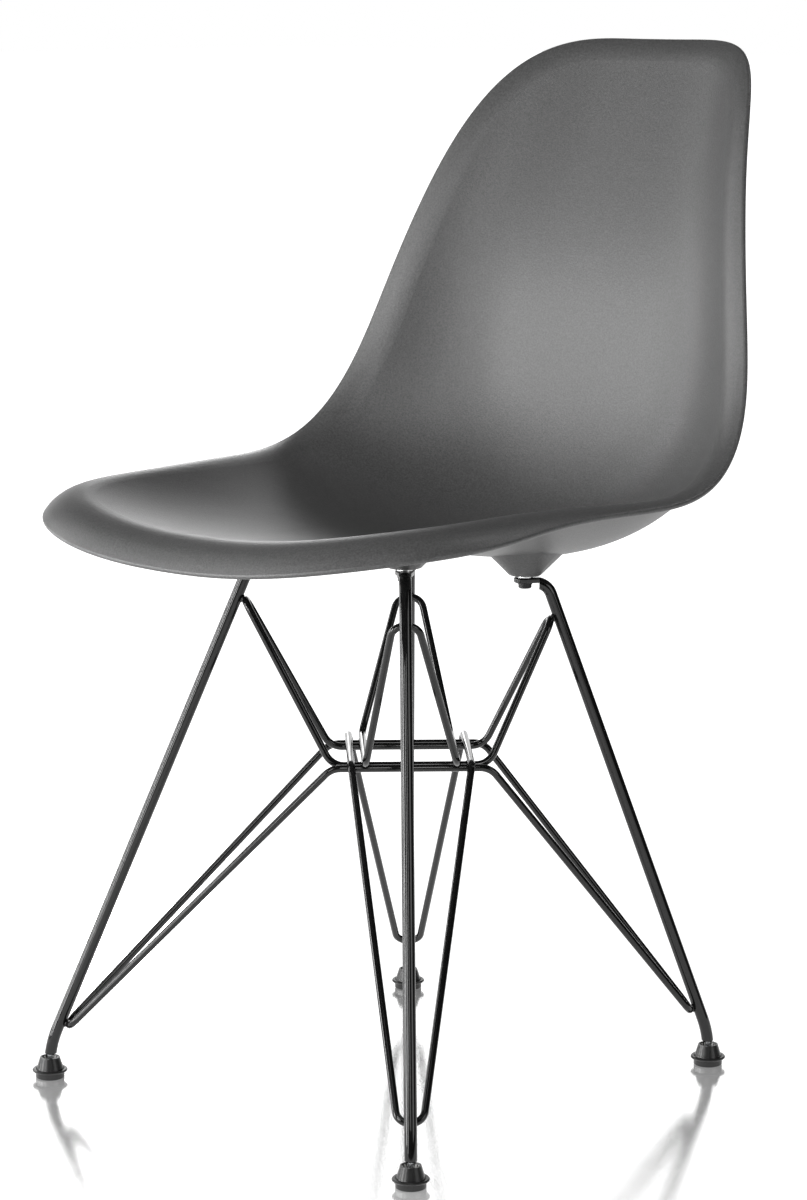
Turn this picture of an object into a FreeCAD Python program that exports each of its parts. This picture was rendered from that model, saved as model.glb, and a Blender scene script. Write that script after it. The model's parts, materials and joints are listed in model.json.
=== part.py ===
import FreeCAD, Part
import math
import os

# Moulded plastic side chair on a welded wire base, in millimetres.
# Origin on the floor under the middle of the chair, +Z up, sitter faces -Y,
# the sitter's left hand is on +X.

V = FreeCAD.Vector
UP = V(0, 0, 1)

# Shell: centre line, seen from the side
centre_length = 782.7
centre_stations = (0.0, 0.12, 0.28, 0.42, 0.54, 0.66, 0.82, 1.0)
centre_slopes = (-8.6, -7.5, -9.4, 1.3, 53.0, 81.6, 72.2, 67.8)
centre_point = (-13.5, 424.7)

# Shell: edge line, seen from the side
edge_length = 709.8
edge_stations = (0.0, 0.12, 0.28, 0.42, 0.5, 0.58, 0.7, 0.85, 1.0)
edge_slopes = (-19.5, -7.6, -3.5, 11.7, 44.7, 67.9, 74.7, 69.0, 67.2)
edge_point = (-22.2, 471.6)

# Shell: half width, its share from the front to the top, and how each section curves up
shell_half_width = 228.5
width_stations = (0.0, 0.2, 0.4, 0.6, 0.8, 1.0)
width_shares = (1.0, 0.7838, 0.8525, 0.7606, 0.6293, 0.5457)
seat_curve_power = 2.26
back_curve_power = 3.46

# Shell: outline corners, wall and rolled rim
widest_station = 0.435
front_corner_power = 3.6
top_corner_power = 4.6
wall = 4.5
roll_radius = 36.6
roll_turn_front = 72.3
roll_turn_side = 45.3
roll_turn_top = 35.6

# Wire base: plan layout measured from the crossing of the braces
base_middle_y = -21.4
front_pad_out = 68.7
front_pad_ahead = 78.3
front_pad_top = 422.2
rear_pad_out = 61.8
rear_pad_behind = 67.3
rear_pad_top = 398.5
front_foot_out = 195.6
front_foot_ahead = 207.9
rear_foot_out = 164.6
rear_foot_behind = 176.3

# Leg rods
rod_diameter = 9.5
pad_width = 14.6
pad_thickness = 4.3
pad_tip = 8.8
pad_tail = 11.0
pad_edge_round = 1.3
shoulder_reach = 17.4
shoulder_radius = 13.0
knee_height = 25.0
knee_radius = 80.0
leg_end_height = 19.3
leg_end_chamfer = 0.8

# Brace wires
wire_diameter = 5.8
weld_sink = 0.3
crossing_height = 257.1
lower_pair_spacing = 93.0
upper_pair_spacing = 71.1
lower_run_half = 61.6
upper_run_half = 61.2
run_bend_radius = 16.0
turn_half_width = 9.5
upper_turn_front = 386.5
upper_turn_rear = 367.4
lower_turn_front = 45.9
lower_turn_rear = 48.2

# Seat fixings
boss_foot_diameter = 25.0
boss_flare_angle = 45.0
boss_edge_round = 2.0
boss_cone_height = 30.0
boss_hole_extra = 1.0
spacer_diameter = 12.4
spacer_thickness = 1.8
clearance_hole = 6.6
bolt_diameter = 6.0
bolt_in_insert = 9.0
bolt_flange_diameter = 11.5
bolt_flange_thickness = 1.2
bolt_head_diameter = 10.4
bolt_head_height = 4.4
bolt_head_chamfer = 0.7
hex_key_size = 4.0
hex_key_depth = 2.4
insert_diameter = 8.4
insert_length = 9.5

# Foot glides
ball_diameter = 8.4
ball_height = 9.5
stud_neck_diameter = 4.4
stud_pin_diameter = 4.0
stud_pin_length = 6.0
stud_shoulder_gap = 0.1
stud_hole_extra = 0.5
fit_gap = 0.05
cup_top_height = 16.8
cup_top_diameter = 15.6
cup_wall_top = 1.1
cup_cone_diameter = 21.8
cup_groove = 0.5
cup_lip_rise = 1.8
flange_diameter = 27.8
flange_top_height = 7.4
flange_bottom_height = 5.3
flange_chamfer = 0.7
base_pad_diameter = 22.8
base_pad_chamfer = 0.6
spigot_diameter = 16.0
spigot_height = 1.1

# How finely the moulded surface is set out
rows_across = 13
rows_along = 25
points_round_rim = 160


def natural_spline(xs, ys):
    """Smooth curve through the given values, straight beyond both ends."""
    n = len(xs)
    steps = [xs[i + 1] - xs[i] for i in range(n - 1)]
    slopes = [(ys[i + 1] - ys[i]) / steps[i] for i in range(n - 1)]
    curve = [0.0] * n
    low, mid = [0.0] * n, [0.0] * n
    for i in range(1, n - 1):
        pivot = 2 * (steps[i - 1] + steps[i]) - steps[i - 1] * low[i - 1]
        low[i] = steps[i] / pivot
        mid[i] = (6 * (slopes[i] - slopes[i - 1]) - steps[i - 1] * mid[i - 1]) / pivot
    for i in range(n - 2, 0, -1):
        curve[i] = mid[i] - low[i] * curve[i + 1]

    def value(x):
        i = max(0, min(n - 2, sum(1 for s in xs[1:-1] if x >= s)))
        a, b, h = xs[i + 1] - x, x - xs[i], steps[i]
        bend = ((a ** 3 / h - h * a) * curve[i] + (b ** 3 / h - h * b) * curve[i + 1]) / 6
        return (a * ys[i] + b * ys[i + 1]) / h + bend

    return value


def smooth_step(t):
    """Zero below 0, one above 1, with a smooth rise between."""
    t = max(0.0, min(1.0, t))
    return t * t * t * (10 - 15 * t + 6 * t * t)


def side_line(length, stations, slopes, point, point_station=0.3, first=-0.06, last=1.06):
    """Line in the YZ plane with the given slopes, through one known point."""
    slope = natural_spline(stations, slopes)
    count = 449
    step = (last - first) / (count - 1)
    angles = [math.radians(slope(first + step * i)) for i in range(count)]
    ys, zs = [0.0], [0.0]
    for a, b in zip(angles[:-1], angles[1:]):
        ys.append(ys[-1] + (math.cos(a) + math.cos(b)) / 2 * step * length)
        zs.append(zs[-1] + (math.sin(a) + math.sin(b)) / 2 * step * length)

    def read(values, t):
        k = max(0.0, min(count - 1.001, (t - first) / step))
        i = int(k)
        return values[i] + (values[i + 1] - values[i]) * (k - i)

    dy = point[0] - read(ys, point_station)
    dz = point[1] - read(zs, point_station)
    return lambda t: (read(ys, t) + dy, read(zs, t) + dz)


centre_line = side_line(centre_length, centre_stations, centre_slopes, centre_point)
edge_line = side_line(edge_length, edge_stations, edge_slopes, edge_point)
half_width = natural_spline(width_stations, [shell_half_width * s for s in width_shares])


def seat_point(across, along):
    """Point on the sitter's side: across is -1..1, along is 0 at the front."""
    power = seat_curve_power + (back_curve_power - seat_curve_power) * smooth_step((along - 0.35) / 0.4)
    lift = abs(across) ** power
    cy, cz = centre_line(along)
    ey, ez = edge_line(along)
    return V(across * half_width(along), cy + (ey - cy) * lift, cz + (ez - cz) * lift)


def surface_through(point_at, us, vs):
    """B-spline surface through a grid of points, with the grid's own parameters."""
    rows = []
    for v in vs:
        row = Part.BSplineCurve()
        row.interpolate(Points=[point_at(u, v) for u in us], Parameters=us)
        rows.append(row)
    columns = []
    for i in range(rows[0].NbPoles):
        column = Part.BSplineCurve()
        column.interpolate(Points=[row.getPole(i + 1) for row in rows], Parameters=vs)
        columns.append(column)
    surface = Part.BSplineSurface()
    surface.buildFromPolesMultsKnots(
        [c.getPoles() for c in columns],
        rows[0].getMultiplicities(), columns[0].getMultiplicities(),
        rows[0].getKnots(), columns[0].getKnots(),
        False, False, rows[0].Degree, columns[0].Degree)
    return surface


def spread(first, last, count):
    """Evenly spaced values from first to last."""
    steps = round(count) - 1
    return [first + (last - first) * i / steps for i in range(steps + 1)]


grid_across = spread(-1.06, 1.06, rows_across)
grid_along = spread(-0.04, 1.04, rows_along)
sitter_surface = surface_through(seat_point, grid_across, grid_along)


def wall_point(depth):
    """Function giving points at a depth below the sitter's surface."""
    def point_at(u, v):
        return sitter_surface.value(u, v) - sitter_surface.normal(u, v) * depth
    return point_at


def outline_points():
    """Rounded outline as (across, along) pairs, evenly spaced round the rim."""
    fine = []
    for i in range(2880):
        a = 2 * math.pi * i / 2880 - math.pi / 2
        power = 2 / (front_corner_power if math.sin(a) < 0 else top_corner_power)
        across = math.copysign(abs(math.cos(a)) ** power, math.cos(a))
        reach = math.copysign(abs(math.sin(a)) ** power, math.sin(a))
        span = widest_station if reach < 0 else 1 - widest_station
        fine.append((across, widest_station + reach * span))
    fine.append(fine[0])
    run = [0.0]
    for (a0, t0), (a1, t1) in zip(fine[:-1], fine[1:]):
        dx = a1 * half_width(t1) - a0 * half_width(t0)
        run.append(run[-1] + math.hypot(dx, (t1 - t0) * centre_length))
    points, k = [], 0
    for share in spread(0.0, 1.0, points_round_rim + 1)[:-1]:
        target = run[-1] * share
        while run[k + 1] < target:
            k += 1
        f = (target - run[k]) / (run[k + 1] - run[k])
        points.append(tuple(fine[k][j] + (fine[k + 1][j] - fine[k][j]) * f for j in (0, 1)))
    return points


def roll_turn(along):
    """Angle, in radians, that the rim rolls away from the sitter."""
    front = roll_turn_front + (roll_turn_side - roll_turn_front) * smooth_step(along / 0.5)
    top = (roll_turn_top - roll_turn_side) * smooth_step((along - 0.5) / 0.5)
    return math.radians(front + top)


def closed_row(points):
    """Periodic curve through points spaced evenly round the rim."""
    curve = Part.BSplineCurve()
    knots = [i / len(points) for i in range(len(points) + 1)]
    curve.interpolate(Points=points, Parameters=knots, PeriodicFlag=True)
    return curve


def rim_strip(sections):
    """Closed strip of surface from the four control points of each rim section."""
    rows = [closed_row([s[i] for s in sections]) for i in range(4)]
    surface = Part.BSplineSurface()
    surface.buildFromPolesMultsKnots(
        [r.getPoles() for r in rows], [4, 4], rows[0].getMultiplicities(),
        [0.0, 1.0], rows[0].getKnots(), False, True, 3, rows[0].Degree)
    return surface.toShape()


def arc_controls(start, centre, out, normal, radius, turn):
    """Four control points of an arc that leaves start along out."""
    handle = 4 / 3 * math.tan(turn / 4) * radius
    end = centre + out * (radius * math.sin(turn)) + normal * (radius * math.cos(turn))
    heading = out * math.cos(turn) - normal * math.sin(turn)
    return [start, start + out * handle, end - heading * handle, end]


def shell_skin():
    """Faces of the shell: rolled rim, sitter's side and underside."""
    underside = surface_through(wall_point(wall), grid_across, grid_along)
    pairs = outline_points()
    tops = [sitter_surface.value(*pair) for pair in pairs]
    inner, nose, outer = [], [], []
    for i, pair in enumerate(pairs):
        normal = sitter_surface.normal(*pair)
        out = (tops[(i + 1) % len(tops)] - tops[i - 1]).cross(normal)
        out.normalize()
        centre = tops[i] - normal * roll_radius
        turn = roll_turn(pair[1])
        inner.append(arc_controls(tops[i], centre, out, normal, roll_radius, turn))
        bottom = underside.value(*pair)
        outer.append(arc_controls(bottom, centre, out, normal, roll_radius - wall, turn))
        heading = out * math.cos(turn) - normal * math.sin(turn)
        bulge = heading * (wall / 2 * 4 / 3)
        a, b = inner[-1][3], outer[-1][3]
        nose.append([a, a + bulge, b + bulge, b])
    rim = Part.Shell([rim_strip(s) for s in (inner, nose, outer)])
    rim.sewShape(0.001)
    faces = list(rim.Faces)
    for surface, start in ((sitter_surface, tops[0]), (underside, outer[0][0])):
        spot = Part.Vertex(start)
        rings = [e for e in rim.Edges if e.isClosed()]
        ring = min(rings, key=lambda e: e.distToShape(spot)[0])
        face = Part.Face(surface, Part.Wire([ring]))
        face.validate()
        faces.append(face)
    return faces


def solid_from(faces, tolerance=0.01):
    """Solid bounded by the given faces."""
    skin = Part.Shell(faces)
    skin.sewShape(tolerance)
    solid = Part.Solid(skin)
    if solid.Volume < 0:
        solid.reverse()
    return solid


def corner_spots(front, rear):
    """Four points of the base, by corner, each end given as out, back and height."""
    spots = {}
    for end, (out, back, height) in (("front", front), ("rear", rear)):
        for side, sign in (("left", 1), ("right", -1)):
            spots[end + "_" + side] = V(sign * out, base_middle_y + back, height)
    return spots


pads = corner_spots((front_pad_out, -front_pad_ahead, front_pad_top),
                    (rear_pad_out, rear_pad_behind, rear_pad_top))
feet = corner_spots((front_foot_out, -front_foot_ahead, 0),
                    (rear_foot_out, rear_foot_behind, 0))
corners = tuple(pads)
boss_hole_depth = insert_length + boss_hole_extra


def boss(spot):
    """Conical boss under the seat, its foot resting on the spacer."""
    foot = spot + UP * spacer_thickness
    flare = boss_cone_height * math.tan(math.radians(boss_flare_angle))
    radius = boss_foot_diameter / 2
    cone = Part.makeCone(radius, radius + flare, boss_cone_height, foot)
    rims = [e for e in cone.Edges if e.isClosed() and abs(e.CenterOfMass.z - foot.z) < 0.01]
    return cone.makeFillet(boss_edge_round, rims)


def seat_shell():
    """Moulded shell with its four bosses and the holes for the inserts."""
    shell = solid_from(shell_skin())
    middle = surface_through(wall_point(wall / 2), grid_across, grid_along)
    below = middle.toShape(-0.95, 0.95, 0.06, 0.5).extrude(UP * -2 * boss_cone_height)
    for spot in pads.values():
        shell = shell.fuse(boss(spot).common(below))
    for spot in pads.values():
        foot = spot + UP * spacer_thickness
        hole = Part.makeCylinder(insert_diameter / 2 + fit_gap, boss_hole_depth, foot)
        shell = shell.cut(hole)
    return shell


def rounded_path(points, radii):
    """Straight and curved pieces of a polyline with rounded corners."""
    pieces, here = [], points[0]
    for i in range(1, len(points) - 1):
        a = points[i] - points[i - 1]
        b = points[i + 1] - points[i]
        a.normalize()
        b.normalize()
        turn = a.getAngle(b)
        reach = radii[i - 1] * math.tan(turn / 2)
        start = points[i] - a * reach
        pieces.append(("line", start - here))
        axis = a.cross(b)
        axis.normalize()
        centre = start + axis.cross(a) * radii[i - 1]
        pieces.append(("arc", centre, axis, math.degrees(turn)))
        here = points[i] + b * reach
    pieces.append(("line", points[-1] - here))
    return pieces


def rod(points, radii, diameter):
    """Round bar along a polyline whose corners are rounded."""
    circle = Part.Circle(points[0], points[1] - points[0], diameter / 2).toShape()
    faces = [Part.Face(Part.Wire([circle]))]
    for piece in rounded_path(points, radii):
        moved = circle.copy()
        if piece[0] == "line":
            if piece[1].Length < 0.001:
                continue
            faces.append(circle.extrude(piece[1]))
            moved.translate(piece[1])
        else:
            faces.append(circle.revolve(piece[1], piece[2], piece[3]))
            moved.rotate(piece[1], piece[2], piece[3])
        circle = moved
    faces.append(Part.Face(Part.Wire([circle])))
    return solid_from(faces, 0.001)


def leg_line(corner):
    """Shoulder and knee of a leg's centre line, and its outward direction."""
    pad, foot = pads[corner], feet[corner]
    outward = V(foot.x - pad.x, foot.y - pad.y, 0)
    outward.normalize()
    shoulder = pad + outward * shoulder_reach - UP * (rod_diameter / 2)
    return shoulder, foot + UP * knee_height, outward


def pad_plate():
    """Flattened end of a leg: bolt axis at the origin, top face at height 0."""
    r = pad_width / 2
    middle = pad_tip - r
    lean = math.asin((r - rod_diameter / 2) / (pad_tail + middle))
    near = V(r * math.sin(lean) - middle, r * math.cos(lean), 0)
    far = V(pad_tail, rod_diameter / 2, 0)
    mirror = lambda p: V(p.x, -p.y, 0)
    edges = [Part.Arc(mirror(near), V(-pad_tip, 0, 0), near).toShape(),
             Part.makeLine(near, far), Part.makeLine(far, mirror(far)),
             Part.makeLine(mirror(far), mirror(near))]
    plate = Part.Face(Part.Wire(edges)).extrude(UP * -pad_thickness)
    outline = [e for e in plate.Edges if abs(e.CenterOfMass.z + pad_thickness / 2) > 0.1
               and e.CenterOfMass.x < pad_tail - 0.1]
    return plate.makeFillet(pad_edge_round, outline)


def leg(corner):
    """Leg rod: bolted flat pad, shoulder bend, straight, knee and bored end."""
    pad, foot = pads[corner], feet[corner]
    shoulder, knee, outward = leg_line(corner)
    tail = V(pad.x, pad.y, shoulder.z) + outward * (rod_diameter / 2)
    bar = rod([tail, shoulder, knee, foot], [shoulder_radius, knee_radius], rod_diameter)
    side, deep = 4 * rod_diameter, 2 * rod_diameter
    pressed = Part.makeBox(side, side, 2 * deep, V(pad_tail - side, -side / 2, -pad_thickness - deep))
    plate = pad_plate()
    for tool in (pressed, plate):
        tool.rotate(V(0, 0, 0), UP, math.degrees(math.atan2(outward.y, outward.x)))
        tool.translate(pad)
    end = foot + UP * leg_end_height
    below = Part.makeBox(side, side, leg_end_height, foot - V(side / 2, side / 2, 0))
    bar = bar.cut(pressed).cut(below)
    rims = [e for e in bar.Edges if abs(e.CenterOfMass.z - end.z) < 0.01]
    solid = bar.makeChamfer(leg_end_chamfer, rims).fuse(plate)
    solid = solid.cut(Part.makeCylinder(clearance_hole / 2, deep, pad - UP * rod_diameter))
    bore = stud_pin_diameter / 2 + fit_gap
    return solid.cut(Part.makeCylinder(bore, stud_pin_length + stud_hole_extra, end))


def turn_spot(corner, height):
    """Apex of a brace's turn on a leg's inner side, and its sideways direction."""
    shoulder, knee, outward = leg_line(corner)
    along = knee - shoulder
    along.normalize()
    on_axis = shoulder + along * ((height - shoulder.z) / along.z)
    inward = along * outward.dot(along) - outward
    inward.normalize()
    apart = (rod_diameter + wire_diameter) / 2 - weld_sink
    return on_axis + inward * apart, outward.cross(UP)


def brace(front_corner, rear_corner, level, spacing, run_half, front_turn, rear_turn):
    """Closed wire loop between two opposite legs, as two bent halves joined."""
    middle = V(0, base_middle_y, level)
    side = 1 if front_corner.endswith("left") else -1
    run = V(side, -1, 0)
    run.normalize()
    across = run.cross(UP)
    halves = []
    for corner, height, way in ((front_corner, front_turn, 1), (rear_corner, rear_turn, -1)):
        apex, sideways = turn_spot(corner, height)
        if sideways.dot(across) < 0:
            sideways = sideways * -1
        offset = across * (spacing / 2)
        reach = run * (run_half * way)
        points = [middle + offset, middle + offset + reach,
                  apex + sideways * turn_half_width, apex - sideways * turn_half_width,
                  middle - offset + reach, middle - offset]
        radii = [run_bend_radius]
        for i in (2, 3):
            turn = (points[i] - points[i - 1]).getAngle(points[i + 1] - points[i])
            radii.append(0.98 * turn_half_width / math.tan(turn / 2))
        halves.append(rod(points, radii + [run_bend_radius], wire_diameter))
    return halves[0].fuse(halves[1]).removeSplitter()


def bolt(spot):
    """Flanged bolt: head under the pad, shank up into the insert."""
    under = spot - UP * pad_thickness
    flange = Part.makeCylinder(bolt_flange_diameter / 2, bolt_flange_thickness,
                               under - UP * bolt_flange_thickness)
    low = under - UP * bolt_head_height
    head = Part.makeCylinder(bolt_head_diameter / 2, bolt_head_height, low)
    rims = [e for e in head.Edges if e.isClosed() and abs(e.CenterOfMass.z - low.z) < 0.01]
    head = head.makeChamfer(bolt_head_chamfer, rims)
    length = pad_thickness + spacer_thickness + bolt_in_insert
    shank = Part.makeCylinder(bolt_diameter / 2, length, under)
    key = Part.makePolygon([low + V(math.cos(math.pi / 3 * i), math.sin(math.pi / 3 * i), 0)
                            * (hex_key_size / math.sqrt(3)) for i in range(7)])
    socket = Part.Face(Part.Wire(key.Edges)).extrude(UP * hex_key_depth)
    return head.fuse(flange).fuse(shank).removeSplitter().cut(socket)


def ring(diameter, hole, height, spot):
    """Flat round ring standing on a spot."""
    outer = Part.makeCylinder(diameter / 2, height, spot)
    return outer.cut(Part.makeCylinder(hole / 2, height, spot))


def ball_stud(spot):
    """Ball, neck and pin: the pin turns in the leg's end, the ball in the cup."""
    centre = spot + UP * ball_height
    ball = Part.makeSphere(ball_diameter / 2, centre)
    neck_length = leg_end_height - stud_shoulder_gap - ball_height
    neck = Part.makeCylinder(stud_neck_diameter / 2, neck_length, centre)
    pin = Part.makeCylinder(stud_pin_diameter / 2, stud_pin_length,
                            centre + UP * neck_length)
    return ball.fuse(neck).fuse(pin)


def glide_cup(spot):
    """Cup of a foot glide: open cone on a thin brim, with the ball's socket."""
    socket = ball_diameter / 2 + fit_gap
    lip = math.sqrt(socket ** 2 - cup_lip_rise ** 2)
    low, brim = flange_bottom_height, flange_top_height
    recess = spigot_diameter / 2 + fit_gap
    recess_top = low + spigot_height + fit_gap
    top, edge = cup_top_height, flange_diameter / 2
    cone_foot, cone_top = cup_cone_diameter / 2, cup_top_diameter / 2
    outline = [V(socket, 0, ball_height), V(socket, 0, recess_top), V(recess, 0, recess_top),
               V(recess, 0, low), V(edge - flange_chamfer, 0, low),
               V(edge, 0, low + flange_chamfer), V(edge, 0, brim - flange_chamfer),
               V(edge - flange_chamfer, 0, brim), V(cone_foot + cup_groove, 0, brim),
               V(cone_foot, 0, brim - cup_groove), V(cone_top, 0, top),
               V(cone_top - cup_wall_top, 0, top), V(lip, 0, ball_height + cup_lip_rise)]
    halfway = math.asin(cup_lip_rise / socket) / 2
    curve = Part.Arc(outline[-1], V(socket * math.cos(halfway), 0,
                                    ball_height + socket * math.sin(halfway)), outline[0])
    edges = [Part.makeLine(a, b) for a, b in zip(outline[:-1], outline[1:])]
    profile = Part.Face(Part.Wire(edges + [curve.toShape()]))
    profile.translate(spot)
    return profile.revolve(spot, UP, 360)


def glide_base(spot):
    """Flat base pad of a foot glide, its spigot snapped up into the cup."""
    disc = Part.makeCylinder(base_pad_diameter / 2, flange_bottom_height, spot)
    rims = [e for e in disc.Edges if e.isClosed()]
    disc = disc.makeChamfer(base_pad_chamfer, rims)
    spigot = Part.makeCylinder(spigot_diameter / 2, spigot_height, spot + UP * flange_bottom_height)
    seat = Part.makeSphere(ball_diameter / 2 + fit_gap, spot + UP * ball_height)
    return disc.fuse(spigot).removeSplitter().cut(seat)


def write(name, *solids):
    """Save one node: a single solid, or a group of separate ones."""
    shape = solids[0] if len(solids) == 1 else Part.makeCompound(list(solids))
    if len(shape.Solids) != len(solids) or not shape.isValid():
        raise ValueError(name + " is not made of sound separate solids")
    shape.exportStep("parts/" + name + ".step")


def main():
    """Build every node of the chair."""
    os.makedirs("parts", exist_ok=True)
    write("seat_shell", seat_shell())
    spots = [pads[c] for c in corners]
    write("shell_bolts", *[bolt(s) for s in spots])
    write("spacer_washers", *[ring(spacer_diameter, clearance_hole, spacer_thickness, s)
                              for s in spots])
    bore = bolt_diameter + 2 * fit_gap
    write("threaded_inserts", *[ring(insert_diameter, bore, insert_length,
                                     s + UP * spacer_thickness) for s in spots])
    for corner in corners:
        write(corner + "_leg", leg(corner))
        write(corner + "_ball_stud", ball_stud(feet[corner]))
        write(corner + "_glide_cup", glide_cup(feet[corner]))
        write(corner + "_glide_base", glide_base(feet[corner]))
    upper_level = crossing_height + wire_diameter - weld_sink
    for name, front, rear, level in (("a", "front_right", "rear_left", crossing_height),
                                     ("b", "front_left", "rear_right", upper_level)):
        write("lower_brace_" + name, brace(front, rear, level, lower_pair_spacing,
                                           lower_run_half, lower_turn_front, lower_turn_rear))
        write("upper_brace_" + name, brace(front, rear, level, upper_pair_spacing,
                                           upper_run_half, upper_turn_front, upper_turn_rear))


if __name__ == "__main__":
    main()
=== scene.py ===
"""Looks of a moulded plastic shell chair on a welded wire base.

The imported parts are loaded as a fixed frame. Every part gets the finish of the real one, the small
pieces that show only from close by are added, and a plain white studio holds the camera at the
photograph's angle. Lengths are in metres, in the same frame as the parts.
"""

from __future__ import annotations

import json
import logging
import math
from dataclasses import dataclass, replace
from enum import Enum
from typing import Any

import bmesh
import bpy
from mathutils import Matrix, Vector

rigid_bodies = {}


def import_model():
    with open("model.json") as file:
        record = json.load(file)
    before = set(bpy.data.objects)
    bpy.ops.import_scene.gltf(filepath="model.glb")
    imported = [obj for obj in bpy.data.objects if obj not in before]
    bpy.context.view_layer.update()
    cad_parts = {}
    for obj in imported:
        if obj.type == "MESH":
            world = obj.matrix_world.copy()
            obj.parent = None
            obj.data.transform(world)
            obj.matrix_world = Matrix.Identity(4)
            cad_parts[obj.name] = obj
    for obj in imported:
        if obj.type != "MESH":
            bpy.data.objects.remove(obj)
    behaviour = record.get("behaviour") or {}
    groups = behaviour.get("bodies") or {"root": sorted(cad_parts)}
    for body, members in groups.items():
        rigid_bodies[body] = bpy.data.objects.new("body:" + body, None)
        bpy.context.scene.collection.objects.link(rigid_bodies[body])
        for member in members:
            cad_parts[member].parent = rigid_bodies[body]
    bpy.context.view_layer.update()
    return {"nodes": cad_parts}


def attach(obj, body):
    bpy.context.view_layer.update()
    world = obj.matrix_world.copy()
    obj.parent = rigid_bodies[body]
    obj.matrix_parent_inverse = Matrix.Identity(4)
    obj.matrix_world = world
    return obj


LOG = logging.getLogger("shell_chair")
MM = 0.001
ORIGIN = (0, 0, 0)
WHITE = (1, 1, 1, 1)

Triple = tuple[float, float, float]
Turns = tuple[tuple[str, float], ...]
Tree = bpy.types.NodeTree
Socket = bpy.types.NodeSocket


class Corner(Enum):
    """The four corners of the chair, named as its sitter sees them."""

    FRONT_LEFT = "front_left"
    FRONT_RIGHT = "front_right"
    REAR_LEFT = "rear_left"
    REAR_RIGHT = "rear_right"


def linear(colour: str) -> tuple[float, float, float, float]:
    """Turns an sRGB hex colour into linear light, by the standard's own curve.

    Args:
        colour: Six hex digits, such as "4a4b4e".

    Returns:
        Red, green, blue and an alpha of one.
    """
    values = []
    for i in (0, 2, 4):
        share = int(colour[i:i + 2], 16) / 255
        values.append(share / 12.92 if share <= 0.04045 else ((share + 0.055) / 1.055) ** 2.4)
    return (values[0], values[1], values[2], 1.0)


def per_feature(size_mm: float) -> float:
    """Texture scale, in features per metre, for features of a size in millimetres."""
    return 1.0 / (size_mm * MM)


def add_node(tree: Tree, kind: str, settings: dict[str, Any] | None = None,
             inputs: dict[str | int, Any] | None = None) -> bpy.types.Node:
    """Adds one node with its settings, values and links.

    Args:
        tree: The node tree that gets the node.
        kind: The node's type, such as "ShaderNodeBump".
        settings: Properties of the node itself.
        inputs: Socket name or number to a value, or to the output socket that feeds it.

    Returns:
        The new node.
    """
    node = tree.nodes.new(kind)
    for name, value in (settings or {}).items():
        setattr(node, name, value)
    for name, value in (inputs or {}).items():
        if isinstance(value, bpy.types.NodeSocket):
            tree.links.new(value, node.inputs[name])
        else:
            node.inputs[name].default_value = value
    return node


def maths(tree: Tree, operation: str, *values: Any, clamp: bool = False) -> Socket:
    """One step of arithmetic on numbers or sockets.

    Args:
        tree: The node tree that gets the step.
        operation: Name of the operation, such as "MULTIPLY".
        values: Numbers or output sockets, in order.
        clamp: Keep the result between 0 and 1.

    Returns:
        The result's output socket.
    """
    node = add_node(tree, "ShaderNodeMath", {"operation": operation, "use_clamp": clamp},
                    dict(enumerate(values)))
    return node.outputs[0]


def seen_rays(tree: Tree) -> tuple[Socket, Socket, Socket]:
    """Tells rays that make the picture from rays that only carry light.

    Args:
        tree: The node tree that asks.

    Returns:
        Sockets that are 1 for camera rays, for mirrored or transmitted rays, and for the sharp
        ones among the latter.
    """
    path = add_node(tree, "ShaderNodeLightPath")
    mirrored = maths(tree, "MAXIMUM", path.outputs["Is Glossy Ray"], path.outputs["Is Transmission Ray"])
    return path.outputs["Is Camera Ray"], mirrored, path.outputs["Is Singular Ray"]


def new_material(name: str) -> tuple[bpy.types.Material, Tree]:
    """Makes an empty node material.

    Args:
        name: The material's name.

    Returns:
        The material and its empty node tree.
    """
    material = bpy.data.materials.new(name)
    material.use_nodes = True
    material.node_tree.nodes.clear()
    return material, material.node_tree


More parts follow.
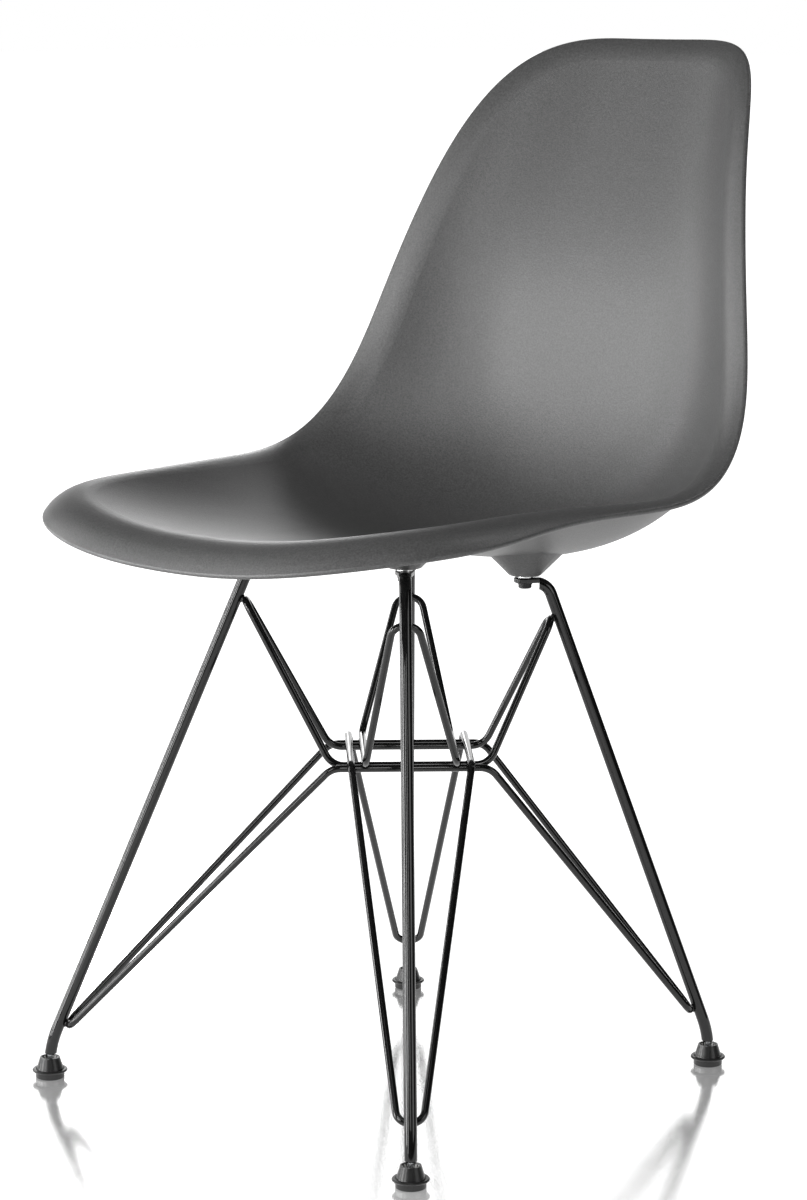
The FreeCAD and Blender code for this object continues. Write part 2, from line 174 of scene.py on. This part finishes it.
@dataclass(frozen=True)
class Finish:
    """A finish: two shades that drift into each other, under a fine relief that gives the gloss its look."""

    name: str
    shades: tuple[str, str]
    patch_mm: float
    roughness: float
    grain_mm: float
    grain_height_mm: float
    metallic: float = 0.0
    ior: float = 1.5
    specular: float = 0.5
    patch_detail: float = 3.0
    patch_roughness: float = 0.6
    shade_stops: tuple[float, float] = (0.3, 0.7)
    grain_detail: float = 2.0
    grain_roughness: float = 0.55

    def colour(self, tree: Tree, place: Socket) -> Socket:
        """Colour that drifts between the two shades over the surface.

        Args:
            tree: The material's node tree.
            place: Object coordinates.

        Returns:
            The colour's output socket.
        """
        noise = add_node(tree, "ShaderNodeTexNoise", None,
                         {"Vector": place, "Scale": per_feature(self.patch_mm),
                          "Detail": self.patch_detail, "Roughness": self.patch_roughness})
        ramp = add_node(tree, "ShaderNodeValToRGB", None, {"Fac": noise.outputs["Fac"]})
        for stop, position, shade in zip(ramp.color_ramp.elements, self.shade_stops, self.shades):
            stop.position = position
            stop.color = linear(shade)
        return ramp.outputs["Color"]

    def relief(self, tree: Tree, place: Socket) -> Socket:
        """Surface direction over the fine relief.

        Args:
            tree: The material's node tree.
            place: Object coordinates.

        Returns:
            The normal's output socket.
        """
        noise = add_node(tree, "ShaderNodeTexNoise", None,
                         {"Vector": place, "Scale": per_feature(self.grain_mm),
                          "Detail": self.grain_detail, "Roughness": self.grain_roughness})
        bump = add_node(tree, "ShaderNodeBump", None,
                        {"Height": noise.outputs["Fac"], "Strength": 1.0,
                         "Distance": self.grain_height_mm * MM})
        return bump.outputs["Normal"]

    def material(self) -> bpy.types.Material:
        """Builds the finish.

        Returns:
            A node material, named for what the real one is.
        """
        material, tree = new_material(self.name)
        place = add_node(tree, "ShaderNodeTexCoord").outputs["Object"]
        shader = add_node(tree, "ShaderNodeBsdfPrincipled", None,
                          {"Base Color": self.colour(tree, place), "Roughness": self.roughness,
                           "Metallic": self.metallic, "IOR": self.ior,
                           "Specular IOR Level": self.specular, "Normal": self.relief(tree, place)})
        add_node(tree, "ShaderNodeOutputMaterial", None, {"Surface": shader.outputs["BSDF"]})
        return material


# Polypropylene from a spark-eroded mould: an even satin charcoal whose fine grain scatters the light.
# The grain is drawn at 1.5 mm, coarser than the real one, so that it shows
MOULDED_POLYPROPYLENE = Finish("moulded_polypropylene", ("323232", "464646"), patch_mm=1.5, roughness=0.42,
                               grain_mm=1.5, grain_height_mm=0.15, ior=1.49)

# Black polyester powder baked on steel: a smooth glossy skin with faint flow waves
POWDER_COAT = Finish("black_powder_coat", ("0b0b0b", "101010"), patch_mm=6.0, roughness=0.09,
                     grain_mm=4.0, grain_height_mm=0.002, specular=0.38)

# Weld bead under the same black powder: rippled, so it shines less evenly
WELD_BEAD = Finish("powder_coated_weld", ("0b0b0b", "121212"), patch_mm=1.0, roughness=0.3,
                   grain_mm=0.8, grain_height_mm=0.05, specular=0.35)

# Glass-filled nylon, moulded: satin black, a little greyer than the powder coat
MOULDED_NYLON = Finish("moulded_nylon", ("131313", "1c1c1c"), patch_mm=1.5, roughness=0.3,
                       grain_mm=0.6, grain_height_mm=0.012, ior=1.53, specular=0.35)

# Acetal snap fingers inside the glide, left in their natural pale colour
NATURAL_ACETAL = Finish("natural_acetal", ("8c8c8a", "a0a09e"), patch_mm=1.5, roughness=0.35,
                        grain_mm=0.6, grain_height_mm=0.008, ior=1.48)

# Zinc plate on a turned steel spacer: bright, faintly clouded metal
ZINC_PLATE = Finish("bright_zinc_plate", ("c6c6c6", "dedede"), patch_mm=1.2, roughness=0.28,
                    grain_mm=0.3, grain_height_mm=0.002, metallic=1.0)

# Oiled black oxide on steel screws: nearly black metal with a low sheen
BLACK_OXIDE = Finish("black_oxide_steel", ("1a1a1a", "2a2a2a"), patch_mm=0.8, roughness=0.34,
                     grain_mm=0.3, grain_height_mm=0.004, metallic=0.7)

# Brass turned on a lathe: warm plain metal
TURNED_BRASS = Finish("turned_brass", ("b5924c", "c9a75e"), patch_mm=1.0, roughness=0.3,
                      grain_mm=0.2, grain_height_mm=0.002, metallic=1.0)

# Steel turned on a lathe and left bare inside the glide
TURNED_STEEL = Finish("turned_steel", ("a9abad", "c0c2c4"), patch_mm=1.0, roughness=0.25,
                      grain_mm=0.2, grain_height_mm=0.002, metallic=1.0)


def dress(piece: bpy.types.Object, material: bpy.types.Material) -> None:
    """Puts one material on the whole of a piece.

    Args:
        piece: The object, with or without material slots.
        material: The finish it gets.
    """
    if not piece.material_slots:
        piece.data.materials.append(material)
    for slot in piece.material_slots:
        slot.material = material


class Bench:
    """One new piece, put together from primitives that are shaped in edit mode."""

    ball_segments: int = 24
    ball_rings: int = 14
    bead_unevenness: float = 0.07
    finger_taper: Triple = (0.55, 0.8, 1.0)
    broken_edge: float = 0.15 * MM
    broken_edge_segments: int = 2
    smooth_angle: float = math.radians(40)

    def __init__(self, name: str) -> None:
        """Starts an empty piece.

        Args:
            name: The piece's name.
        """
        bpy.ops.object.select_all(action="DESELECT")
        bpy.ops.object.add(type="MESH")
        self.piece = bpy.context.object
        self.piece.name = name
        self.piece.data.name = name
        bpy.ops.object.mode_set(mode="EDIT")

    @staticmethod
    def place(size: Triple, turns: Turns, spot: Vector) -> None:
        """Gives the primitive just added its size, direction and place.

        Args:
            size: Scale along its own three axes.
            turns: Axis and angle pairs, in radians and counterclockwise, applied in order.
            spot: Where its middle goes.
        """
        bpy.ops.transform.resize(value=size, center_override=ORIGIN)
        for axis, angle in turns:
            bpy.ops.transform.rotate(value=-angle, orient_axis=axis, center_override=ORIGIN)
        bpy.ops.transform.translate(value=spot)

    def bead(self, size: Triple, turns: Turns, spot: Vector, seed: int) -> None:
        """Adds a weld bead: a stretched ball with an uneven skin, as molten steel sets.

        Args:
            size: Its three half sizes.
            turns: Axis and angle pairs, applied in order.
            spot: Where its middle goes.
            seed: Number that picks its own unevenness.
        """
        bpy.ops.mesh.select_all(action="DESELECT")
        bpy.ops.mesh.primitive_uv_sphere_add(segments=self.ball_segments, ring_count=self.ball_rings,
                                             radius=1.0)
        bpy.ops.transform.vertex_random(offset=self.bead_unevenness, normal=1.0, seed=seed)
        self.place(size, turns, spot)

    def finger(self, size: Triple, turns: Turns, spot: Vector) -> None:
        """Adds a snap finger: a strip that thins towards its free upper end, with broken edges.

        Args:
            size: Its three full sizes at the root.
            turns: Axis and angle pairs, applied in order.
            spot: Where its middle goes.
        """
        bpy.ops.mesh.select_all(action="DESELECT")
        bpy.ops.mesh.primitive_cube_add(size=1.0)
        mesh = bmesh.from_edit_mesh(self.piece.data)
        for vertex in mesh.verts:
            vertex.select = vertex.select and vertex.co.z > 0
        mesh.select_flush_mode()
        bmesh.update_edit_mesh(self.piece.data)
        bpy.ops.transform.resize(value=self.finger_taper, center_override=ORIGIN)
        bpy.ops.mesh.select_linked()
        bpy.ops.transform.resize(value=size, center_override=ORIGIN)
        bpy.ops.mesh.bevel(offset=self.broken_edge, segments=self.broken_edge_segments, affect="EDGES")
        self.place((1.0, 1.0, 1.0), turns, spot)

    def done(self, material: bpy.types.Material, body: str) -> bpy.types.Object:
        """Closes the piece and lets it ride on a body.

        Args:
            material: Its finish.
            body: The CAD body it moves with.

        Returns:
            The finished piece.
        """
        bpy.ops.mesh.select_all(action="SELECT")
        bpy.ops.mesh.normals_make_consistent(inside=False)
        bpy.ops.object.mode_set(mode="OBJECT")
        bpy.ops.object.shade_smooth_by_angle(angle=self.smooth_angle)
        dress(self.piece, material)
        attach(self.piece, body)
        return self.piece


@dataclass
class SeatShell:
    """The moulded seat and back."""

    nodes: dict[str, bpy.types.Object]

    def build(self) -> None:
        """Dresses the shell."""
        dress(self.nodes["seat_shell"], MOULDED_POLYPROPYLENE.material())
        LOG.info("seat shell dressed")


@dataclass
class ShellFixings:
    """Bolts, spacers and inserts that hold the shell on the base."""

    nodes: dict[str, bpy.types.Object]

    def build(self) -> None:
        """Dresses the fixings."""
        dress(self.nodes["shell_bolts"], BLACK_OXIDE.material())
        dress(self.nodes["spacer_washers"], ZINC_PLATE.material())
        dress(self.nodes["threaded_inserts"], TURNED_BRASS.material())
        LOG.info("shell fixings dressed")


@dataclass(frozen=True)
class LegLine:
    """One leg's centre line, from its pad to its foot, and the heights where the loops are welded on."""

    pad: Vector
    foot: Vector
    loop_heights: tuple[float, float]
    shoulder_reach: float = 17.4 * MM
    knee_height: float = 25.0 * MM
    rod_radius: float = 4.75 * MM
    weld_sink: float = 0.15 * MM

    def mirrored(self) -> LegLine:
        """The same leg on the chair's other side."""
        return replace(self, pad=Vector((-self.pad.x, self.pad.y, self.pad.z)),
                       foot=Vector((-self.foot.x, self.foot.y, self.foot.z)))

    def outward(self) -> Vector:
        """Level direction from the pad to the foot."""
        return Vector((self.foot.x - self.pad.x, self.foot.y - self.pad.y, 0.0)).normalized()

    def shoulder(self) -> Vector:
        """Point where the leg turns down."""
        return self.pad + self.outward() * self.shoulder_reach - Vector((0, 0, self.rod_radius))

    def knee(self) -> Vector:
        """Point where the leg turns upright above its glide."""
        return self.foot + Vector((0, 0, self.knee_height))

    def lean(self) -> float:
        """Angle between the leg and the vertical."""
        return (self.shoulder() - self.knee()).angle(Vector((0, 0, 1)))

    def inner_face(self, height: float) -> Vector:
        """Point on the leg's inner side, where a loop of wire is welded on.

        Args:
            height: Height of the weld on the leg's centre line.

        Returns:
            The middle of the weld.
        """
        along = (self.shoulder() - self.knee()).normalized()
        on_axis = self.knee() + along * ((height - self.knee().z) / along.z)
        inward = (along * self.outward().dot(along) - self.outward()).normalized()
        return on_axis + inward * (self.rod_radius - self.weld_sink)


FRONT_LEG = LegLine(pad=Vector((68.7, -99.7, 422.2)) * MM, foot=Vector((195.6, -229.3, 0.0)) * MM,
                    loop_heights=(45.9 * MM, 386.5 * MM))
REAR_LEG = LegLine(pad=Vector((61.8, 45.9, 398.5)) * MM, foot=Vector((164.6, 154.9, 0.0)) * MM,
                   loop_heights=(48.2 * MM, 367.4 * MM))
LEG_LINES = {
    Corner.FRONT_LEFT: FRONT_LEG,
    Corner.FRONT_RIGHT: FRONT_LEG.mirrored(),
    Corner.REAR_LEFT: REAR_LEG,
    Corner.REAR_RIGHT: REAR_LEG.mirrored(),
}


@dataclass
class WireBase:
    """Legs and brace loops, welded and powder coated in one piece."""

    nodes: dict[str, bpy.types.Object]
    middle: Vector = Vector((0.0, -21.4 * MM, 259.85 * MM))
    wire_offsets: tuple[float, ...] = (-46.5 * MM, -35.55 * MM, 35.55 * MM, 46.5 * MM)
    crossing_bead: Triple = (3.3 * MM, 3.3 * MM, 1.3 * MM)
    leg_bead: Triple = (1.7 * MM, 4.0 * MM, 3.2 * MM)

    def crossing_welds(self, material: bpy.types.Material) -> None:
        """Adds the sixteen small welds where the wires of the two diagonals cross.

        Args:
            material: Finish of a weld.
        """
        bench = Bench("crossing_welds")
        one_way, other_way = Vector((1, 1, 0)).normalized(), Vector((1, -1, 0)).normalized()
        spots = [self.middle + one_way * first + other_way * second
                 for first in self.wire_offsets for second in self.wire_offsets]
        for seed, spot in enumerate(spots):
            bench.bead(self.crossing_bead, (), spot, seed)
        bench.done(material, "chair")
        LOG.info("crossing welds: %d", len(spots))

    def leg_welds(self, material: bpy.types.Material) -> None:
        """Adds the eight welds where the loops' ends meet the legs.

        Args:
            material: Finish of a weld.
        """
        bench = Bench("leg_welds")
        for line in LEG_LINES.values():
            outward = line.outward()
            turns = (("Y", -line.lean()), ("Z", math.atan2(outward.y, outward.x)))
            for height in line.loop_heights:
                bench.bead(self.leg_bead, turns, line.inner_face(height), round(height / MM))
        bench.done(material, "chair")
        LOG.info("leg welds set")

    def build(self) -> None:
        """Dresses the base and adds its welds."""
        coat = POWDER_COAT.material()
        names = [corner.value + "_leg" for corner in Corner]
        names += [level + "_brace_" + pair for level in ("lower", "upper") for pair in ("a", "b")]
        for name in names:
            dress(self.nodes[name], coat)
        weld = WELD_BEAD.material()
        self.crossing_welds(weld)
        self.leg_welds(weld)
        LOG.info("wire base dressed: %d rods", len(names))


@dataclass
class FloorGlides:
    """The four ball-jointed glides."""

    nodes: dict[str, bpy.types.Object]
    finger_count: int = 12
    finger_middle: float = 14.0 * MM
    finger_radius: float = 5.55 * MM
    finger_size: Triple = (1.0 * MM, 2.0 * MM, 4.6 * MM)
    finger_lean: float = math.radians(20)

    def snap_ring(self, corner: Corner, foot: Vector, material: bpy.types.Material) -> bpy.types.Object:
        """Makes the ring of fingers that clips the ball into one cup.

        Args:
            corner: The glide's corner.
            foot: Middle of the glide on the floor.
            material: Finish of the fingers.

        Returns:
            The ring.
        """
        bench = Bench(corner.value + "_snap_fingers")
        for i in range(self.finger_count):
            angle = 2 * math.pi * i / self.finger_count
            spot = Vector((math.cos(angle) * self.finger_radius, math.sin(angle) * self.finger_radius,
                           self.finger_middle))
            bench.finger(self.finger_size, (("Y", self.finger_lean), ("Z", angle)), foot + spot)
        return bench.done(material, corner.value + "_glide")

    @staticmethod
    def copy_ring(ring: bpy.types.Object, corner: Corner, shift: Vector) -> None:
        """Copies a ring to another glide, with its own mesh.

        Args:
            ring: The finished ring.
            corner: The other glide's corner.
            shift: Way from the ring to its copy.
        """
        copy = ring.copy()
        copy.data = ring.data.copy()
        copy.name = copy.data.name = corner.value + "_snap_fingers"
        copy.data.transform(Matrix.Translation(shift))
        bpy.context.scene.collection.objects.link(copy)
        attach(copy, corner.value + "_glide")

    def build(self) -> None:
        """Dresses every glide and adds its snap fingers."""
        nylon = MOULDED_NYLON.material()
        steel = TURNED_STEEL.material()
        for corner in Corner:
            dress(self.nodes[corner.value + "_ball_stud"], steel)
            dress(self.nodes[corner.value + "_glide_cup"], nylon)
            dress(self.nodes[corner.value + "_glide_base"], nylon)
            LOG.info("%s glide dressed", corner.value)
        first, *others = Corner
        start = LEG_LINES[first].foot
        ring = self.snap_ring(first, start, NATURAL_ACETAL.material())
        for corner in others:
            self.copy_ring(ring, corner, LEG_LINES[corner].foot - start)
        LOG.info("snap fingers set in %d glides", len(Corner))


class Tier(Enum):
    """How high a row of lamps hangs, in degrees above the middle of the chair."""

    LOW = 5.0
    MIDDLE = 15.0
    HIGH = 28.0
    UPPER = 50.0


@dataclass(frozen=True)
class Softbox:
    """One soft lamp on a dome round the chair, aimed at its middle; most are upright strips."""

    name: str
    tier: Tier
    azimuth: float
    watts: float
    width: float = 0.3
    height: float = 1.2
    distance: float = 2.6
    centre: Triple = (0.0, 0.0, 0.45)

    def build(self) -> None:
        """Hangs the lamp. Azimuth 0 is in front of the chair and 90 at the sitter's left."""
        data = bpy.data.lights.new(self.name, "AREA")
        data.shape = "RECTANGLE"
        data.size = self.width
        data.size_y = self.height
        data.energy = self.watts
        lamp = bpy.data.objects.new(self.name, data)
        bpy.context.scene.collection.objects.link(lamp)
        turn, rise = math.radians(self.azimuth), math.radians(self.tier.value)
        outward = Vector((math.sin(turn) * math.cos(rise), -math.cos(turn) * math.cos(rise), math.sin(rise)))
        lamp.location = Vector(self.centre) + outward * self.distance
        lamp.rotation_euler = (-outward).to_track_quat("-Z", "Y").to_euler()
        lamp.visible_camera = False


SOFTBOXES = (
    Softbox("low_front", Tier.LOW, azimuth=0.0, watts=18.0),
    Softbox("low_front_right", Tier.LOW, azimuth=334.0, watts=36.0),
    Softbox("low_right", Tier.LOW, azimuth=309.0, watts=25.0),
    Softbox("low_side", Tier.LOW, azimuth=283.0, watts=13.0),
    Softbox("low_back", Tier.LOW, azimuth=231.0, watts=4.0),
    Softbox("wide_left", Tier.MIDDLE, azimuth=94.0, watts=12.0, width=1.2),
    Softbox("high_front_left", Tier.HIGH, azimuth=15.0, watts=15.0),
    Softbox("high_left", Tier.HIGH, azimuth=45.0, watts=8.0),
    Softbox("high_front_right", Tier.HIGH, azimuth=345.0, watts=8.0),
    Softbox("high_right", Tier.HIGH, azimuth=315.0, watts=8.0),
    Softbox("high_side", Tier.HIGH, azimuth=285.0, watts=6.0),
    Softbox("upper_left", Tier.UPPER, azimuth=40.0, watts=4.0),
    Softbox("upper_back", Tier.UPPER, azimuth=160.0, watts=6.0),
)


@dataclass(frozen=True)
class PolishedFloor:
    """White floor that stays white in view and mirrors the feet faintly in its fine ripple.

    It mirrors only round the chair, and it is clear from below, so that the underside can be seen.
    """

    half_size: float = 30.0
    drop: float = 0.2 * MM
    mirror_whole: float = 0.5
    mirror_gone: float = 0.9
    glow_near: float = 0.7
    glow_far: float = 1.1
    glow_mirrored: float = 0.52
    shade_seen: float = 0.35
    shade_unseen: float = 0.7
    ripple_mm: float = 1.5
    ripple_height_mm: float = 0.07
    ripple_detail: float = 2.0
    ior: float = 1.5
    polish: float = 3.6

    def nearness(self, tree: Tree, place: Socket) -> Socket:
        """How near the chair a spot is: 1 where the floor mirrors fully and 0 where it doesn't at all.

        Args:
            tree: The material's node tree.
            place: Object coordinates.

        Returns:
            The output socket.
        """
        away = add_node(tree, "ShaderNodeVectorMath", {"operation": "LENGTH"}, {0: place}).outputs["Value"]
        near = add_node(tree, "ShaderNodeMapRange", {"interpolation_type": "SMOOTHSTEP"},
                        {"Value": away, "From Min": self.mirror_whole, "From Max": self.mirror_gone,
                         "To Min": 1.0, "To Max": 0.0})
        return near.outputs[0]

    def white(self, tree: Tree, camera: Socket, mirrored: Socket, near: Socket) -> Socket:
        """The white body: a glow that keeps it white in view, and a matt surface that takes shadow.

        Args:
            tree: The material's node tree.
            camera: 1 for camera rays.
            mirrored: 1 for mirrored rays.
            near: 1 near the chair and 0 away from it.

        Returns:
            The shader's output socket.
        """
        in_view = add_node(tree, "ShaderNodeMapRange", None,
                           {"Value": near, "To Min": self.glow_far, "To Max": self.glow_near})
        strength = maths(tree, "ADD", maths(tree, "MULTIPLY", camera, in_view.outputs[0]),
                         maths(tree, "MULTIPLY", mirrored, self.glow_mirrored))
        glow = add_node(tree, "ShaderNodeEmission", None, {"Color": WHITE, "Strength": strength})
        shade = add_node(tree, "ShaderNodeMapRange", None,
                         {"Value": camera, "To Min": self.shade_unseen, "To Max": self.shade_seen})
        matt = add_node(tree, "ShaderNodeBsdfDiffuse", None, {"Color": shade.outputs[0]})
        body = add_node(tree, "ShaderNodeAddShader", None, {0: glow.outputs[0], 1: matt.outputs[0]})
        return body.outputs[0]

    def rippled_mirror(self, tree: Tree, place: Socket) -> Socket:
        """The mirror that lies on the white body, unsteady in a fine ripple.

        Args:
            tree: The material's node tree.
            place: Object coordinates.

        Returns:
            The shader's output socket.
        """
        ripple = add_node(tree, "ShaderNodeTexNoise", None,
                          {"Vector": place, "Scale": per_feature(self.ripple_mm),
                           "Detail": self.ripple_detail})
        bump = add_node(tree, "ShaderNodeBump", None,
                        {"Height": ripple.outputs["Fac"], "Strength": 1.0,
                         "Distance": self.ripple_height_mm * MM})
        gloss = add_node(tree, "ShaderNodeBsdfGlossy", None,
                         {"Color": WHITE, "Roughness": 0.0, "Normal": bump.outputs["Normal"]})
        return gloss.outputs[0]

    def material(self) -> bpy.types.Material:
        """Builds the floor's finish.

        Returns:
            The node material.
        """
        material, tree = new_material("polished_white_floor")
        camera, mirrored, _ = seen_rays(tree)
        place = add_node(tree, "ShaderNodeTexCoord").outputs["Object"]
        near = self.nearness(tree, place)
        fresnel = add_node(tree, "ShaderNodeFresnel", None, {"IOR": self.ior})
        share = maths(tree, "MULTIPLY",
                      maths(tree, "MULTIPLY", fresnel.outputs[0], self.polish, clamp=True),
                      maths(tree, "MULTIPLY", camera, near))
        top = add_node(tree, "ShaderNodeMixShader", None,
                       {0: share, 1: self.white(tree, camera, mirrored, near),
                        2: self.rippled_mirror(tree, place)})
        below = add_node(tree, "ShaderNodeNewGeometry").outputs["Backfacing"]
        clear = add_node(tree, "ShaderNodeBsdfTransparent")
        sheet = add_node(tree, "ShaderNodeMixShader", None,
                         {0: below, 1: top.outputs[0], 2: clear.outputs[0]})
        add_node(tree, "ShaderNodeOutputMaterial", None, {"Surface": sheet.outputs[0]})
        return material

    def build(self) -> None:
        """Lays the floor."""
        bpy.ops.object.select_all(action="DESELECT")
        bpy.ops.mesh.primitive_plane_add(size=2 * self.half_size, location=(0, 0, -self.drop))
        floor = bpy.context.object
        floor.name = "studio_floor"
        dress(floor, self.material())


@dataclass(frozen=True)
class StudioCamera:
    """The camera, where the photograph was taken from."""

    place: Triple = (1.90367, -2.06782, 0.86243)
    aim: Triple = (-0.0054, -0.0216, 0.3808)
    lens_mm: float = 108.78
    sensor_mm: float = 36.0

    def heading(self) -> Vector:
        """Way from the camera to the point it looks at."""
        return Vector(self.aim) - Vector(self.place)

    def build(self) -> None:
        """Sets the camera up."""
        data = bpy.data.cameras.new("studio_camera")
        data.lens = self.lens_mm
        data.sensor_width = self.sensor_mm
        camera = bpy.data.objects.new("studio_camera", data)
        bpy.context.scene.collection.objects.link(camera)
        camera.location = self.place
        camera.rotation_euler = self.heading().to_track_quat("-Z", "Y").to_euler()
        bpy.context.scene.camera = camera


@dataclass(frozen=True)
class WhiteSurroundings:
    """What lies round the studio: white where it is seen, and a white backdrop behind the chair.

    A soft gloss shows only the backdrop, and the floor's sharp mirror shows white all round.
    """

    heading: Vector
    backdrop_rim: float = 0.72
    backdrop_full: float = 0.92
    backdrop_strength: float = 1.6
    strength_in_floor: float = 1.35
    ambient: float = 0.6

    def backdrop(self, tree: Tree) -> Socket:
        """Brightness of the backdrop, a round field with a soft rim behind the chair.

        Args:
            tree: The world's node tree.

        Returns:
            The output socket.
        """
        direction = add_node(tree, "ShaderNodeTexCoord").outputs["Generated"]
        ahead = add_node(tree, "ShaderNodeVectorMath", {"operation": "DOT_PRODUCT"},
                         {0: direction, 1: self.heading.normalized()})
        field = add_node(tree, "ShaderNodeMapRange", {"interpolation_type": "SMOOTHSTEP"},
                         {"Value": ahead.outputs["Value"], "From Min": self.backdrop_rim,
                          "From Max": self.backdrop_full, "To Max": self.backdrop_strength})
        return field.outputs[0]

    def build(self) -> None:
        """Makes the world."""
        world = bpy.data.worlds.new("white_studio")
        bpy.context.scene.world = world
        world.use_nodes = True
        tree = world.node_tree
        tree.nodes.clear()
        camera, mirrored, sharp = seen_rays(tree)
        in_floor = maths(tree, "MULTIPLY", sharp, self.strength_in_floor)
        in_gloss = maths(tree, "MULTIPLY", maths(tree, "SUBTRACT", mirrored, sharp, clamp=True),
                         self.backdrop(tree))
        seen = maths(tree, "ADD", maths(tree, "ADD", camera, in_floor), in_gloss)
        unseen = maths(tree, "SUBTRACT", 1.0, maths(tree, "MAXIMUM", camera, mirrored))
        light = maths(tree, "MULTIPLY", unseen, self.ambient)
        shine = add_node(tree, "ShaderNodeBackground", None,
                         {"Color": WHITE, "Strength": maths(tree, "ADD", seen, light)})
        add_node(tree, "ShaderNodeOutputWorld", None, {"Surface": shine.outputs[0]})


@dataclass(frozen=True)
class Studio:
    """White floor and surroundings, soft lamps and the camera."""

    floor: PolishedFloor = PolishedFloor()
    lamps: tuple[Softbox, ...] = SOFTBOXES
    camera: StudioCamera = StudioCamera()

    def build(self) -> None:
        """Builds the studio."""
        self.floor.build()
        WhiteSurroundings(self.camera.heading()).build()
        for lamp in self.lamps:
            lamp.build()
        self.camera.build()
        bpy.context.scene.view_settings.view_transform = "Standard"
        LOG.info("studio built with %d softboxes", len(self.lamps))


def main() -> None:
    """Loads the frame, builds every assembly in order and then the studio."""
    logging.basicConfig(level=logging.INFO, format="%(name)s: %(message)s")
    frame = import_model()
    nodes = frame["nodes"]
    for assembly in (SeatShell(nodes), ShellFixings(nodes), WireBase(nodes), FloorGlides(nodes)):
        assembly.build()
    Studio().build()


if __name__ == "__main__":
    main()
